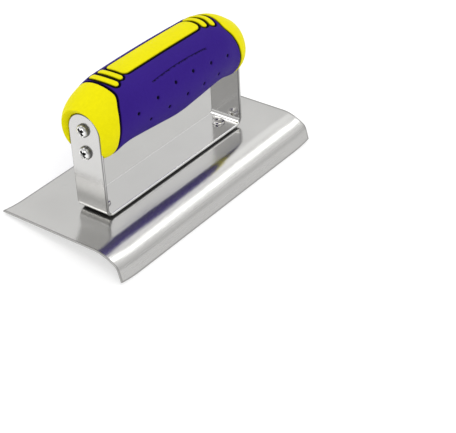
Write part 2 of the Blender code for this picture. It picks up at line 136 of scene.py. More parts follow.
# End caps, and the pocket for the leg in each.
CAP_HEART = np.array((44.0, 0.0, 46.5))  # a cap is charted by directions from this point
CAP_CHART = 16.0
CAP_REACH = 34.0
CAP_WAIST = 0.18  # how deep the wall under a cap's rim starts, and how deep its foot is
CAP_FOOT = 2.4
CAP_TIP = (41.0, 0.0, 47.0)  # where a cap's hidden inner faces meet
SPINE_HALF_LENGTH = 47.5
SPINE_DEPTH = 2.9
POCKET_FLOOR = STRAP_HALF_SPAN - STRAP_THICKNESS - 0.3
POCKET_MOUTH = STRAP_HALF_SPAN
POCKET_MARGIN = 0.4
POCKET_FLARE = 0.85
POCKET_ROUNDING = 1.3

# How the mouldings' edges and the channels between them fall away: distance from the edge, depth.
TRIM_PROFILE = ((0.0, 0.45), (0.08, 0.22), (0.22, 0.07), (0.45, 0.0))
GRIP_PROFILE = ((-0.1, 1.5), (0.95, 1.5), (1.1, 1.35), (1.2, 0.5), (1.3, 0.2), (1.5, 0.05), (1.75, 0.0))
DIMPLE_PROFILE = ((0.0, 0.9), (0.45, 0.85), (0.75, 0.6), (0.95, 0.15), (1.15, 0.0))
LINE_UPPER = ((0.0, 0.5), (0.4, 0.42), (0.65, 0.0))
LINE_LOWER = ((0.0, 0.5), (0.5, 0.16), (0.9, 0.0))
LINE_DEPTH = LINE_UPPER[0][1]
GRIP_WALL = 2.6
TRIM_WALL = 3.1
WAIST = 0.07  # share of a wall's depth by which its side has turned dark with painted shade
CHART_RADIUS = 18.5  # a place on the grip is charted as its x and its turn times this

# Dimples in two rows along each side of the grip, as x and z, and the engraved line above them.
DIMPLES = ((6.6, 55.45), (20.3, 53.7), (33.9, 51.5), (0.0, 46.5), (13.3, 45.7), (26.0, 44.8))
LINE_ENDS = (-19.0, 20.0)
LINE_TOP_Z = 61.2
LINE_BOW = 0.9 / 21.0**2

# Camera, in the tool's frame, and studio lights, in metres on the ground.
CAMERA_PLACE = (-434.65, -386.28, 362.86)
CAMERA_ANGLES = (-51.419, 34.324, -2.896)  # azimuth, elevation and roll in degrees
CAMERA_LENS = 107.201
SOFTBOXES = (  # name, place, aim, size, power, roll in degrees
    ("overhead", (-0.3, -0.5, 1.3), (0, 0, 0.03), (1.0, 0.8), 5.0, 0.0),
    ("strip", (0.86, -0.05, 1.1), (-0.02, -0.03, 0.01), (0.18, 1.0), 1.06, 20.0),
    ("fill", (0.86, 0.36, 1.0), (-0.02, -0.03, 0.01), (0.3, 1.0), 0.25, 0.0),
    ("left", (-1.25, 0.22, 0.14), (0, 0, 0.05), (0.3, 0.3), 1.0, 0.0),
    ("back", (-0.44, 0.83, 1.06), (-0.055, 0, 0.01), (0.5, 0.5), 2.4, 0.0),
    ("side", (-0.69, 0.94, 0.735), (-0.055, 0, 0.01), (0.5, 0.2), 0.25, 45.0),
)


# Helpers for outlines


def spread(start, end, steps):
    return [start + (end - start) * step / steps for step in range(steps + 1)]


def on_circle(centre, radius, angle):
    return (centre[0] + radius * math.cos(angle), centre[1] + radius * math.sin(angle))


def arc(centre, radius, start, end, steps):
    return [on_circle(centre, radius, angle) for angle in spread(start, end, steps)]


def edge_rings(reach, thickness):
    """A slab's rounded edge from its top face to its bottom face: how far in from the edge, and how deep."""
    near = ((reach, 0.0), (reach * 0.3, reach * 0.3), (0.0, reach))
    return near + tuple((shrink, thickness - depth) for shrink, depth in reversed(near))


def blade_profile():
    """Across the blade's top face, from the back edge to the tip of the lip, as (y, z, slope)."""
    points = [(y, 0.0, 0.0) for y in spread(BLADE_BACK_Y, DECK_FRONT_Y, 6)]
    start = 0.0
    for radius, end in SHOULDER + ((NOSE_RADIUS, LIP_ANGLE),):
        y, z, _ = points[-1]
        for slope in spread(start, end, 16)[1:]:
            over = radius * (math.sin(slope) - math.sin(start))
            down = radius * (math.cos(start) - math.cos(slope))
            points.append((y - over, z - down, slope))
        start = end
    y, z, _ = points[-1]
    drop = LIP_DEPTH + z
    for share in (0.5, 1.0):
        points.append((y - share * drop / math.tan(LIP_ANGLE), z - share * drop, LIP_ANGLE))
    return points


def standing_matrix():
    """From the tool's level frame to the ground, where it stands on the lip's edge and the back edge."""
    lip_y, lip_z, _ = blade_profile()[-1]
    inner_y = lip_y + BLADE_THICKNESS * math.sin(LIP_ANGLE)
    inner_z = lip_z - BLADE_THICKNESS * math.cos(LIP_ANGLE)
    tilt = math.atan2(-BLADE_THICKNESS - inner_z, BLADE_BACK_Y - inner_y)
    turn = Matrix.Rotation(-tilt, 4, "X")
    ground = (turn @ Vector((0, inner_y, inner_z))).z
    front = (turn @ Vector((0, lip_y, lip_z))).y
    back = (turn @ Vector((0, BLADE_BACK_Y, END_RISE))).y
    return Matrix.Translation((0, -(front + back) / 2 * MM, -ground * MM)) @ turn @ Matrix.Scale(MM, 4)


STANDING = standing_matrix()


# Helpers for materials

GRAIN_DEPTH = 0.00002  # of the polishing lines and the scratches in steel, in metres
HAIRLINE_DEPTH = 0.000003
RANGE_SOCKETS = ("From Min", "From Max", "To Min", "To Max")


class Nodes:
    """Short ways to add and join the nodes of one material."""

    def __init__(self, name):
        self.material = bpy.data.materials.new(name)
        self.material.use_nodes = True
        self.tree = self.material.node_tree
        self.shader = self.tree.nodes["Principled BSDF"]
        self.coords = self.tree.nodes.new("ShaderNodeTexCoord").outputs["Object"]

    def add(self, kind, **settings):
        node = self.tree.nodes.new(kind)
        for key, value in settings.items():
            setattr(node, key, value)
        return node

    def join(self, output, target):
        self.tree.links.new(output, target)

    def noise(self, scale, detail, roughness, stretch=(1, 1, 1), distortion=0.0):
        mapping = self.add("ShaderNodeMapping")
        mapping.inputs["Scale"].default_value = stretch
        self.join(self.coords, mapping.inputs["Vector"])
        node = self.add("ShaderNodeTexNoise")
        node.inputs["Scale"].default_value = scale
        node.inputs["Detail"].default_value = detail
        node.inputs["Roughness"].default_value = roughness
        node.inputs["Distortion"].default_value = distortion
        self.join(mapping.outputs["Vector"], node.inputs["Vector"])
        return node.outputs["Fac"]

    def between(self, value, *limits):
        """Maps a value from one range to another; the limits are the first range's, then the second's."""
        node = self.add("ShaderNodeMapRange")
        for socket, limit in zip(RANGE_SOCKETS, limits):
            node.inputs[socket].default_value = limit
        self.join(value, node.inputs["Value"])
        return node.outputs["Result"]

    def blend(self, share, first, second):
        node = self.add("ShaderNodeMix", data_type="RGBA")
        for socket, value in (("Factor", share), ("A", first), ("B", second)):
            slot = [s for s in node.inputs if s.name == socket and s.enabled][0]
            if isinstance(value, tuple):
                slot.default_value = (*value, 1.0)
            else:
                self.join(value, slot)
        return [s for s in node.outputs if s.enabled][0]

    def sum(self, value, factor, addend):
        """The value times a factor, plus a number or another value."""
        node = self.add("ShaderNodeMath", operation="MULTIPLY_ADD")
        self.join(value, node.inputs[0])
        node.inputs[1].default_value = factor
        if isinstance(addend, float):
            node.inputs[2].default_value = addend
        else:
            self.join(addend, node.inputs[2])
        return node.outputs[0]

    def mark(self):
        """Painted shade in channels and recesses, or a cut edge's dullness; below zero, painted highlight."""
        node = self.add("ShaderNodeAttribute", attribute_type="GEOMETRY", attribute_name="recess")
        return node.outputs["Fac"]

    def bump(self, height, distance, strength=1.0, after=None):
        node = self.add("ShaderNodeBump")
        node.inputs["Strength"].default_value = strength
        node.inputs["Distance"].default_value = distance
        self.join(height, node.inputs["Height"])
        if after is not None:
            self.join(after, node.inputs["Normal"])
        return node.outputs["Normal"]


def steel(name, colour, roughness, grain_axis, uneven=0.05, dark=(0.25, 0.245, 0.24), veil=0.03):
    """Polished metal: fine polishing lines along one axis, faint clouds and hairline scratches.

    Where the mark is above zero the metal is dull and dark: painted shade in recesses, under the strap and
    along edges, and the sheet's dull cut edge; below zero it is bright and matt: a painted highlight.
    """
    n = Nodes(name)
    stretch = {"X": (0.04, 1, 1), "Y": (1, 0.04, 1)}[grain_axis]
    lines = n.noise(2600, 2.0, 0.6, stretch)
    clouds = n.noise(45, 4.0, 0.55)
    hairs = n.between(n.noise(420, 2.0, 0.5, tuple(0.25 * s for s in stretch), 0.4), 0.66, 0.7, 0.0, 1.0)
    tint = n.blend(n.between(clouds, 0.3, 0.7, 0.0, 1.0), tuple(c * 0.95 for c in colour), colour)
    mark = n.mark()
    # painted highlight where the mark is below zero, painted shade towards the dark colour above zero
    painted_highlight = n.sum(mark, -1.0, 0.0)
    shade = n.blend(painted_highlight, n.blend(mark, tint, dark), (0.98, 0.98, 0.97))
    n.join(shade, n.shader.inputs["Base Color"])
    rough = n.between(lines, 0.3, 0.7, roughness - uneven * 0.4, roughness + uneven * 0.4)
    rough = n.sum(n.between(clouds, 0.3, 0.7, -uneven * 0.3, uneven * 0.3), 1.0, rough)
    rough = n.sum(hairs, 0.05, rough)
    dulled = n.add("ShaderNodeMath", operation="ABSOLUTE")
    n.join(mark, dulled.inputs[0])
    n.join(n.sum(dulled.outputs[0], 0.3, rough), n.shader.inputs["Roughness"])
    n.shader.inputs["Metallic"].default_value = 1.0 - veil
    n.join(n.bump(hairs, -HAIRLINE_DEPTH, after=n.bump(lines, GRAIN_DEPTH)), n.shader.inputs["Normal"])
    return n.material


def plastic(name, colour, roughness, grain, gloss):
    """Moulded plastic: a very fine grain, a faint ripple, an uneven sheen and painted shade in its channels.
    """
    n = Nodes(name)
    fine = n.noise(3200, 3.0, 0.6)
    ripple = n.noise(650, 2.0, 0.5)
    broad = n.noise(60, 3.0, 0.5)
    shade = n.blend(
        n.between(n.sum(ripple, 0.5, n.between(broad, 0.0, 1.0, 0.0, 0.5)), 0.3, 0.7, 0.0, 1.0),
        tuple(c * 0.95 for c in colour),
        tuple(c * 1.05 for c in colour),
    )
    # painted shade: nearly black where a place lies down in a channel
    channel_shade = n.blend(n.mark(), shade, tuple(c * 0.08 for c in colour))
    n.join(channel_shade, n.shader.inputs["Base Color"])
    n.shader.inputs["Specular IOR Level"].default_value = gloss
    n.join(n.between(fine, 0.3, 0.7, roughness - 0.06, roughness + 0.06), n.shader.inputs["Roughness"])
    n.join(n.bump(fine, grain, after=n.bump(ripple, grain * 3)), n.shader.inputs["Normal"])
    return n.material


# Mesh helpers


def add_object(name, data):
    """Links a new object; a bmesh is first made a mesh."""
    if isinstance(data, bmesh.types.BMesh):
        mesh = bpy.data.meshes.new(name)
        data.to_mesh(mesh)
        data.free()
        data = mesh
    item = bpy.data.objects.new(name, data)
    bpy.context.scene.collection.objects.link(item)
    return item


def finish_piece(name, bm, material, node, sharp):
    """Stands a piece that was made in the tool's frame on the ground and registers it."""
    bmesh.ops.transform(bm, matrix=STANDING, verts=bm.verts)
    piece = add_object(name, bm)
    piece.data.materials.append(material)
    piece.data.shade_smooth()
    piece.data.set_sharp_from_angle(angle=math.radians(sharp))
    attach(piece, "root")
    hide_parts(node)


def mark_layer(bm):
    """The number on each vertex that Nodes.mark reads: its painted shade or highlight."""
    return bm.verts.layers.float.get("recess") or bm.verts.layers.float.new("recess")


def grid_faces(bm, rows, closed=False):
    """Quads between rows of vertices."""
    for upper, lower in zip(rows, rows[1:]):
        count = len(upper)
        for index in range(count if closed else count - 1):
            after = (index + 1) % count
            bm.faces.new((upper[index], upper[after], lower[after], lower[index]))


# Blade


def make_blade(material):
    """The sheet as a closed slab with softly broken edges."""
    profile = blade_profile()
    profile[1:1] = [(BLADE_BACK_Y - in_from_edge, 0.0, 0.0) for in_from_edge in EDGE_SHADE_BAND]
    tip_y, tip_z, _ = profile[-1]
    for up in reversed(EDGE_SHADE_BAND):
        row = (tip_y + up * math.cos(LIP_ANGLE), tip_z + up * math.sin(LIP_ANGLE), LIP_ANGLE)
        profile.insert(-1, row)
    half = BLADE_HALF
    rise_start = half - END_RISE_LENGTH
    end = spread(rise_start, half - EDGE_SHADE_BAND[1], 12) + [half - EDGE_SHADE_BAND[0], half]
    xs = [-x for x in reversed(end)] + spread(-rise_start, rise_start, 10)[1:-1] + end

    def point(x, row, depth):
        y, z, slope = row
        share = max(0.0, abs(x) - rise_start) / END_RISE_LENGTH
        lean = -math.copysign(2 * END_RISE * share / END_RISE_LENGTH, x)
        normal = Vector((lean * math.cos(slope), -math.sin(slope), math.cos(slope))).normalized()
        return Vector((x, y, z + END_RISE * share**2)) - normal * depth

    def squeezed(shrink):
        """The stations and the profile's rows, drawn in from the sheet's edge."""
        new_xs = [math.copysign(min(abs(x), half - shrink), x) for x in xs]
        rows = [list(row) for row in profile]
        rows[0][0] -= shrink
        rows[-1][0] += 0.98 * shrink * math.cos(LIP_ANGLE)
        rows[-1][1] += 0.98 * shrink * math.sin(LIP_ANGLE)
        return new_xs, rows

    bm = bmesh.new()
    mark = mark_layer(bm)
    loops = []
    faces_grid = []
    for shrink, depth in edge_rings(SHEET_EDGE, BLADE_THICKNESS):
        new_xs, rows = squeezed(shrink)
        grid = [[point(x, row, depth) for x in new_xs] for row in rows]
        on_face = depth in (0.0, BLADE_THICKNESS)
        if on_face:
            grid = [[bm.verts.new(spot) for spot in line] for line in grid]
            faces_grid.append(grid)
        if depth == 0.0:
            # painted shade, darker over the nose and lip
            for row, line in zip(rows, grid):
                dulled = min(1.0, max(0.0, (row[2] - SHOULDER[-1][1]) / LIP_PAINTED_SHADE_FADE))
                for vertex in line:
                    vertex[mark] = LIP_PAINTED_SHADE * dulled
            # painted shade: a dark line along the rows just inside the sheet's edge
            ends = [line[place] for line in grid for place in (1, -2)]
            for vertex in grid[1] + grid[-2] + ends:
                vertex[mark] = EDGE_SHADE_MARK
        right = [line[-1] for line in grid[1:]]
        left = [line[0] for line in grid[-2:0:-1]]
        loop = grid[0] + right + grid[-1][-2::-1] + left
        if not on_face:
            loop = [bm.verts.new(spot) for spot in loop]
        # painted shade on the faces' outermost rows; the cut edge between them is dull in its own right
        for vertex in loop:
            vertex[mark] = EDGE_SHADE_MARK if on_face else SHEARED_MARK
        loops.append(loop)
    grid_faces(bm, faces_grid[0])
    grid_faces(bm, [line[::-1] for line in faces_grid[1]])
    grid_faces(bm, loops, closed=True)
    bmesh.ops.recalc_face_normals(bm, faces=bm.faces)
    finish_piece("blade_sheet", bm, material, "blade", sharp=50)


# Strap


def strap_path(s):
    """A point on the strap's middle surface and its upward normal, by the distance along the bar."""
    side = 1.0 if s >= 0 else -1.0
    along = abs(s) - STRAP_FLAT
    if along <= 0:
        return Vector((s, 0, MIDDLE_Z)), Vector((0, 0, 1))
    angle = min(along / MIDDLE_RADIUS, math.pi / 2)
    x, z = on_circle((STRAP_FLAT, MIDDLE_Z + MIDDLE_RADIUS), MIDDLE_RADIUS, angle - math.pi / 2)
    up = max(0.0, along - STRAP_BEND)
    return Vector((side * x, 0, z + up)), Vector((-side * math.sin(angle), 0, math.cos(angle)))


def make_strap(material):
    """The bent bar with rounded edges and round tops."""
    leg_start = STRAP_FLAT + STRAP_BEND
    crown = leg_start + CROWN_Z - MIDDLE_Z - MIDDLE_RADIUS
    stations = spread(0, STRAP_FLAT, 8) + spread(STRAP_FLAT, leg_start, 12)[1:]
    stations += spread(leg_start, crown, 6)[1:]
    half_thick = STRAP_THICKNESS / 2
    rings = [(shrink, half_thick - depth) for shrink, depth in edge_rings(STRAP_EDGE, STRAP_THICKNESS)]
    rings.insert(3, (0.0, -0.05))
    rings = [(STRAP_EDGE + 0.15, half_thick)] + rings + [(STRAP_EDGE + 0.15, -half_thick)]

    def outline(shrink):
        """One side of the stadium from the left tip to the right tip, as (s, half width)."""
        wide = STRAP_HALF_WIDTH - shrink
        right = [(s, wide) for s in stations] + arc((crown, 0), wide, math.pi / 2, 0, 22)[1:]
        return [(-s, w) for s, w in reversed(right[1:])] + right

    def place(s, w, height):
        spot, normal = strap_path(s)
        return spot + normal * height + Vector((0, w, 0))

    bm = bmesh.new()
    mark = mark_layer(bm)
    loops = []
    for (shrink, height), base_light, leg_shade in zip(rings, BASE_PAINTED_LIGHT, LEG_PAINTED_SHADE):
        line = outline(shrink)
        front = [bm.verts.new(place(s, -w, height)) for s, w in line]
        back = [bm.verts.new(place(s, w, height)) for s, w in line[1:-1]]
        loops.append(front + back[::-1])
        # painted highlight and painted shade round the bar's edges
        for vertex, (s, _) in zip(front + back, line + line[1:-1]):
            vertex[mark] = base_light if abs(s) < BASE_PAINTED_LIGHT_END else leg_shade
        if abs(height) == half_thick and shrink > STRAP_EDGE:
            full = [front[0]] + back + [front[-1]]
            for index in range(len(line) - 1):
                corners = [front[index], front[index + 1], full[index + 1], full[index]]
                bm.faces.new(list(dict.fromkeys(corners)))
    grid_faces(bm, loops, closed=True)
    bmesh.ops.recalc_face_normals(bm, faces=bm.faces)
    finish_piece("handle_strap", bm, material, "handle_bracket", sharp=50)


# Turned pieces


def turned(bm, profile, segments, matrix):
    """Adds a closed solid of revolution about Z, its profile given from the top of the axis to the bottom."""
    rows = []
    for radius, height in profile:
        row = []
        for step in range(segments if radius else 1):
            spot = on_circle((0, 0), radius, 2 * math.pi * step / segments)
            row.append(bm.verts.new(matrix @ Vector((*spot, height))))
        rows.append(row)
    for upper, lower in zip(rows, rows[1:]):
        for index in range(segments):
            after = (index + 1) % segments
            if len(upper) == 1:
                bm.faces.new((upper[0], lower[index], lower[after]))
            elif len(lower) == 1:
                bm.faces.new((upper[index], lower[0], upper[after]))
            else:
                bm.faces.new((upper[index], lower[index], lower[after], upper[after]))


def make_rivet(side, sign, material):
    head = list(RIVET_DIMPLE)
    head += arc(RIVET_ROUND[:2], RIVET_ROUND[2], math.pi / 2, 0, 7)[1:]
    seat = SEAT_Z + STRAP_THICKNESS + STANDOFF
    profile = [(radius, seat + height) for radius, height in head + list(RIVET_FOOT)]
    bm = bmesh.new()
    turned(bm, profile + list(RIVET_TAIL), 48, Matrix.Translation((sign * RIVET_X, 0, 0)))
    finish_piece(f"rivet_{side}_finished", bm, material, f"rivet_{side}", sharp=40)


def screw_mesh():
    """A pan-head screw with a tapered cross recess; the underside of its head is at height zero."""
    bm = bmesh.new()
    turned(bm, SCREW_HEAD + SCREW_FOOT, 64, Matrix.Identity(4))
    blank = add_object("screw_blank", bm)
    cutters = []
    for turn in (0.0, math.pi / 2):
        bm = bmesh.new()
        bmesh.ops.create_cube(bm, size=1.0)
        for vertex in bm.verts:
            reach, width, height = RECESS_TOP if vertex.co.z > 0 else RECESS_FLOOR
            vertex.co = Vector((math.copysign(reach, vertex.co.x), math.copysign(width, vertex.co.y), height))
        bmesh.ops.transform(bm, matrix=Matrix.Rotation(turn + RECESS_TURN, 4, "Z"), verts=bm.verts)
        cutter = add_object(f"recess_{len(cutters)}", bm)
        modifier = blank.modifiers.new("recess", "BOOLEAN")
        modifier.object = cutter
        modifier.operation = "DIFFERENCE"
        modifier.solver = "EXACT"
        cutters.append(cutter)
    bpy.context.view_layer.update()
    done = bpy.data.meshes.new_from_object(blank.evaluated_get(bpy.context.evaluated_depsgraph_get()))
    for item in cutters + [blank]:
        bpy.data.objects.remove(item)
    return done


def make_screw(name, source, sign, height, material):
    bm = bmesh.new()
    bm.from_mesh(source)
    mark = mark_layer(bm)
    for vertex in bm.verts:
        # painted shade: black in the cross recess, and darkening towards the head's side
        sunk = vertex.co.xy.length < 2.0 and 0.5 < vertex.co.z < 1.5
        side = min(1.0, max(0.0, (vertex.co.xy.length - SCREW_SHADE_START) / SCREW_SHADE_FADE))
        vertex[mark] = 1.0 if sunk else SCREW_SHADE * side
    seat = Matrix.Translation((sign * (STRAP_HALF_SPAN + STANDOFF), 0, height))
    bmesh.ops.transform(bm, matrix=seat @ Matrix.Rotation(sign * math.pi / 2, 4, "Y"), verts=bm.verts)
    finish_piece(f"{name}_finished", bm, material, name, sharp=35)


# Handle


def smooth_sections():
    """The handle's section sizes at close places along half its length: middle height and both radii."""
    rows = np.array(HANDLE_SECTIONS)
    last, before = rows[-1], rows[-2]
    rows = np.vstack([rows[1] * (-1, 1, 1, 1), rows, 2 * last - before])
    places = np.linspace(0, HANDLE_HALF_LENGTH, 2400)
    sizes = []
    for place in places:
        spot = min(place, last[0] + 2.0)
        index = max(i for i in range(1, len(rows) - 2) if rows[i][0] <= spot)
        start, end = rows[index], rows[index + 1]
        span = end[0] - start[0]
        t = (spot - start[0]) / span
        leave = (end - rows[index - 1]) / (end[0] - rows[index - 1][0]) * span
        arrive = (rows[index + 2] - start) / (rows[index + 2][0] - start[0]) * span
        curve = (2 * t**3 - 3 * t**2 + 1) * start + (t**3 - 2 * t**2 + t) * leave
        _, top, bottom, half_width = curve + (3 * t**2 - 2 * t**3) * end + (t**3 - t**2) * arrive
        way = min(1.0, max(0.0, (place - DOME_START) / (HANDLE_HALF_LENGTH - DOME_START)))
        dome = (1 - way**DOME_POWER) ** (1 / DOME_POWER)
        middle = (top + bottom) / 2 + DOME_LIFT * way**2
        sizes.append((middle, max(half_width * dome, 0.01), max((top - bottom) / 2 * dome, 0.01)))
    return places, np.array(sizes)


PLACES, SIZES = smooth_sections()


def section(x):
    return tuple(np.interp(np.abs(x), PLACES, SIZES[:, column]) for column in range(3))


def unit(rows):
    return rows / np.linalg.norm(rows, axis=1)[:, None]


def fullness(points):
    """Below 1 inside the handle's form, above 1 outside it."""
    middle, wide, high = section(points[:, 0])
    value = (points[:, 1] / wide) ** 2 + ((points[:, 2] - middle) / high) ** 2
    return np.where(np.abs(points[:, 0]) >= HANDLE_HALF_LENGTH, 9.0, value)


def skin_normal(points):
    shifts = np.eye(3) * 0.05
    return unit(np.stack([fullness(points + shift) - fullness(points - shift) for shift in shifts], axis=1))


def skin_point(x, turn, depth=0.0):
    """A point of the handle's form; the turn runs from the top towards the lip's side."""
    middle, wide, high = section(x)
    points = np.stack([x, -wide * np.sin(turn), middle + high * np.cos(turn)], axis=1)
    return points - skin_normal(points) * np.reshape(depth, (-1, 1))


def chart_from_plan(x, y):
    """From a place seen from above to the unrolled chart of the grip."""
    _, wide, _ = section(x)
    return np.stack([x, -np.arcsin(np.clip(y / wide, -1, 1)) * CHART_RADIUS], axis=1)


def resample(loop, spacing):
    """The same loop with its points at even steps."""
    line = np.vstack([loop, loop[:1]])
    lengths = np.concatenate([[0], np.cumsum(np.linalg.norm(np.diff(line, axis=0), axis=1))])
    count = max(8, int(round(lengths[-1] / spacing)))
    marks = np.linspace(0, lengths[-1], count + 1)
    return np.stack([np.interp(marks[:-1], lengths, line[:, axis]) for axis in (0, 1)], axis=1)


def outward(line, closed=True):
    """Unit normals to the right of the way a line runs; outward for a loop that runs anticlockwise."""
    if closed:
        along = np.roll(line, -1, axis=0) - np.roll(line, 1, axis=0)
    else:
        along = np.gradient(line, axis=0)
    return unit(np.stack([along[:, 1], -along[:, 0]], axis=1))


def distance_to(points, line, closed=True):
    starts = line if closed else line[:-1]
    ends = np.roll(line, -1, axis=0) if closed else line[1:]
    best = np.full(len(points), 1e9)
    for start, end in zip(starts, ends):
        way = end - start
        size = max(float(way @ way), 1e-12)
        share = np.clip((points - start) @ way / size, 0, 1)
        best = np.minimum(best, np.linalg.norm(points - start - share[:, None] * way, axis=1))
    return best


def within(points, loop):
    inside = np.zeros(len(points), dtype=bool)
    previous = loop[-1]
    for corner in loop:
        crosses = (corner[1] > points[:, 1]) != (previous[1] > points[:, 1])
        rise = previous[1] - corner[1]
        reach = corner[0] + (points[:, 1] - corner[1]) * (previous[0] - corner[0]) / (rise if rise else 1e-12)
        inside ^= crosses & (points[:, 0] < reach)
        previous = corner
    return inside


def anticlockwise(loop):
    area = np.sum(loop[:, 0] * np.roll(loop[:, 1], -1) - np.roll(loop[:, 0], -1) * loop[:, 1])
    return loop if area > 0 else loop[::-1]


def fall(profile, distance):
    marks, depths = zip(*profile)
    return np.interp(distance, marks, depths)


def panel_loop():
    outline = []
    quarter = math.pi / 2
    x = PANEL_HALF_LENGTH - PANEL_CORNER
    y = PANEL_HALF_WIDTH - PANEL_CORNER
    for index, (side_x, side_y) in enumerate(((x, y), (-x, y), (-x, -y), (x, -y))):
        outline += arc((side_x, side_y), PANEL_CORNER, index * quarter, (index + 1) * quarter, 8)
    plan = resample(outline, 0.7)
    plan[:, 0] -= 0.7 * np.sign(plan[:, 0]) * (plan[:, 1] / PANEL_HALF_WIDTH) ** 2 * (np.abs(plan[:, 0]) > 26)
    return anticlockwise(chart_from_plan(plan[:, 0], plan[:, 1] + TRIM_SHIFT))


def stripe_loop(sign, distance, half_length):
    half = STRIPE_WIDTH / 2
    sweep = (half_length - half) / STRIPE_BOW_RADIUS
    centre = (distance - STRIPE_BOW_RADIUS, 0.0)
    outline = arc(centre, STRIPE_BOW_RADIUS + half, -sweep, sweep, 24)
    tip = on_circle(centre, STRIPE_BOW_RADIUS, sweep)
    outline += arc(tip, half, sweep, sweep + math.pi, 12)[1:-1]
    outline += arc(centre, STRIPE_BOW_RADIUS - half, sweep, -sweep, 24)
    outline += arc((tip[0], -tip[1]), half, math.pi - sweep, 2 * math.pi - sweep, 12)[1:-1]
    plan = resample(outline, 0.5)
    return anticlockwise(chart_from_plan(sign * plan[:, 0], plan[:, 1] + TRIM_SHIFT))


def cap_edge_at(height):
    """Distance from the middle of the line between cap and grip, at a height, with its corner rounded."""
    marks = np.arange(15.0, 80.0, 0.1)
    edge = np.interp(marks, [z for _, z in CAP_EDGE], [x for x, _ in CAP_EDGE])
    bell = np.exp(-0.5 * (np.arange(-30, 31) * 0.1 / 0.8) ** 2)
    smooth = np.convolve(np.pad(edge, 30, mode="edge"), bell / bell.sum(), mode="valid")
    return np.interp(height, marks, smooth)


def cap_line():
    """The line between cap and grip, all the way round: distances from the middle and turns."""
    turn = np.linspace(-math.pi, math.pi, 261)
    x = np.full(len(turn), CAP_HEART[0])
    for _ in range(30):
        middle, _, high = section(x)
        x = cap_edge_at(middle + high * np.cos(turn))
    return x, turn


def closest(points, spots):
    """How far each point is from the nearest of the spots."""
    best = np.full(len(points), 1e9)
    for spot in spots:
        best = np.minimum(best, np.linalg.norm(points - spot, axis=1))
    return best


class Sheet:
    """Collects the lines and points that a chart's triangles must follow."""

    def __init__(self):
        self.points = []
        self.edges = []

    def line(self, points, closed=True, keep=None):
        keep = np.ones(len(points), dtype=bool) if keep is None else keep
        names = {}
        for index in np.nonzero(keep)[0]:
            names[int(index)] = len(self.points)
            self.points.append(tuple(points[index]))
        count = len(points)
        for index in range(count if closed else count - 1):
            after = (index + 1) % count
            if index in names and after in names:
                self.edges.append((names[index], names[after]))

    def fill(self, xs, ys, clear):
        """Adds a grid of points that keep clear of those already there."""
        grid = np.array([(x, y) for x in xs for y in ys])
        self.points += [tuple(spot) for spot in grid[closest(grid, np.array(self.points)) > clear]]

    def mesh(self, inside):
        """All the points, and the triangles between them whose middles pass a test, with the lines kept."""
        flat = [Vector((float(x), float(y))) for x, y in self.points]
        verts, _, faces, _, _, _ = delaunay_2d_cdt(flat, self.edges, [], 0, 1e-4)
        points = np.array([(vert.x, vert.y) for vert in verts])
        middles = points[np.array(faces)].mean(axis=1)
        return points, [tuple(face) for face, kept in zip(faces, inside(middles)) if kept]


def rim_loops(faces):
    """The open edges of a triangle mesh, each in the direction its face runs."""
    edges = set()
    for face in faces:
        for start, end in zip(face, face[1:] + face[:1]):
            if (end, start) in edges:
                edges.remove((end, start))
            else:
                edges.add((start, end))
    return edges


def add_slab(bm, places, faces, depth, wall, recess):
    """A closed skin from places on the grip's chart, from their own depths down to the wall's."""
    turns = places[:, 1] / CHART_RADIUS
    outer = skin_point(places[:, 0], turns, depth)
    inner = skin_point(places[:, 0], turns, wall)
    layer = mark_layer(bm)
    upper, lower, waist = {}, {}, {}
    # painted shade: the top takes the given amount, the sides and underside are fully dark
    for index in sorted({index for face in faces for index in face}):
        upper[index] = bm.verts.new(outer[index])
        upper[index][layer] = float(recess[index])
        lower[index] = bm.verts.new(inner[index])
        lower[index][layer] = 1.0
    for face in faces:
        bm.faces.new([upper[index] for index in face])
        bm.faces.new([lower[index] for index in reversed(face)])
    for start, end in rim_loops(faces):
        for index in (start, end):
            if index not in waist:
                waist[index] = bm.verts.new(outer[index] + (inner[index] - outer[index]) * WAIST)
                waist[index][layer] = 1.0
        bm.faces.new((upper[end], upper[start], waist[start], waist[end]))
        bm.faces.new((waist[end], waist[start], lower[start], lower[end]))


def trim_loops():
    return [panel_loop()] + [stripe_loop(sign, *stripe) for sign in (-1, 1) for stripe in STRIPES]


def dimple_centres():
    spots = []
    for x, z in DIMPLES:
        middle, _, high = section(x)
        turn = math.acos((z - middle) / high)
        for sign in (-1, 1) if x else (1,):
            for side in (-1, 1):
                spots.append((sign * x, side * turn * CHART_RADIUS))
    return np.array(spots)


def grip_lines():
    """The thin engraved line along each side of the grip."""
    x = np.linspace(*LINE_ENDS, 64)
    z = LINE_TOP_Z - LINE_BOW * x**2
    middle, _, high = section(x)
    turn = np.arccos((z - middle) / high)
    return [np.stack([x, side * turn * CHART_RADIUS], axis=1) for side in (-1, 1)]


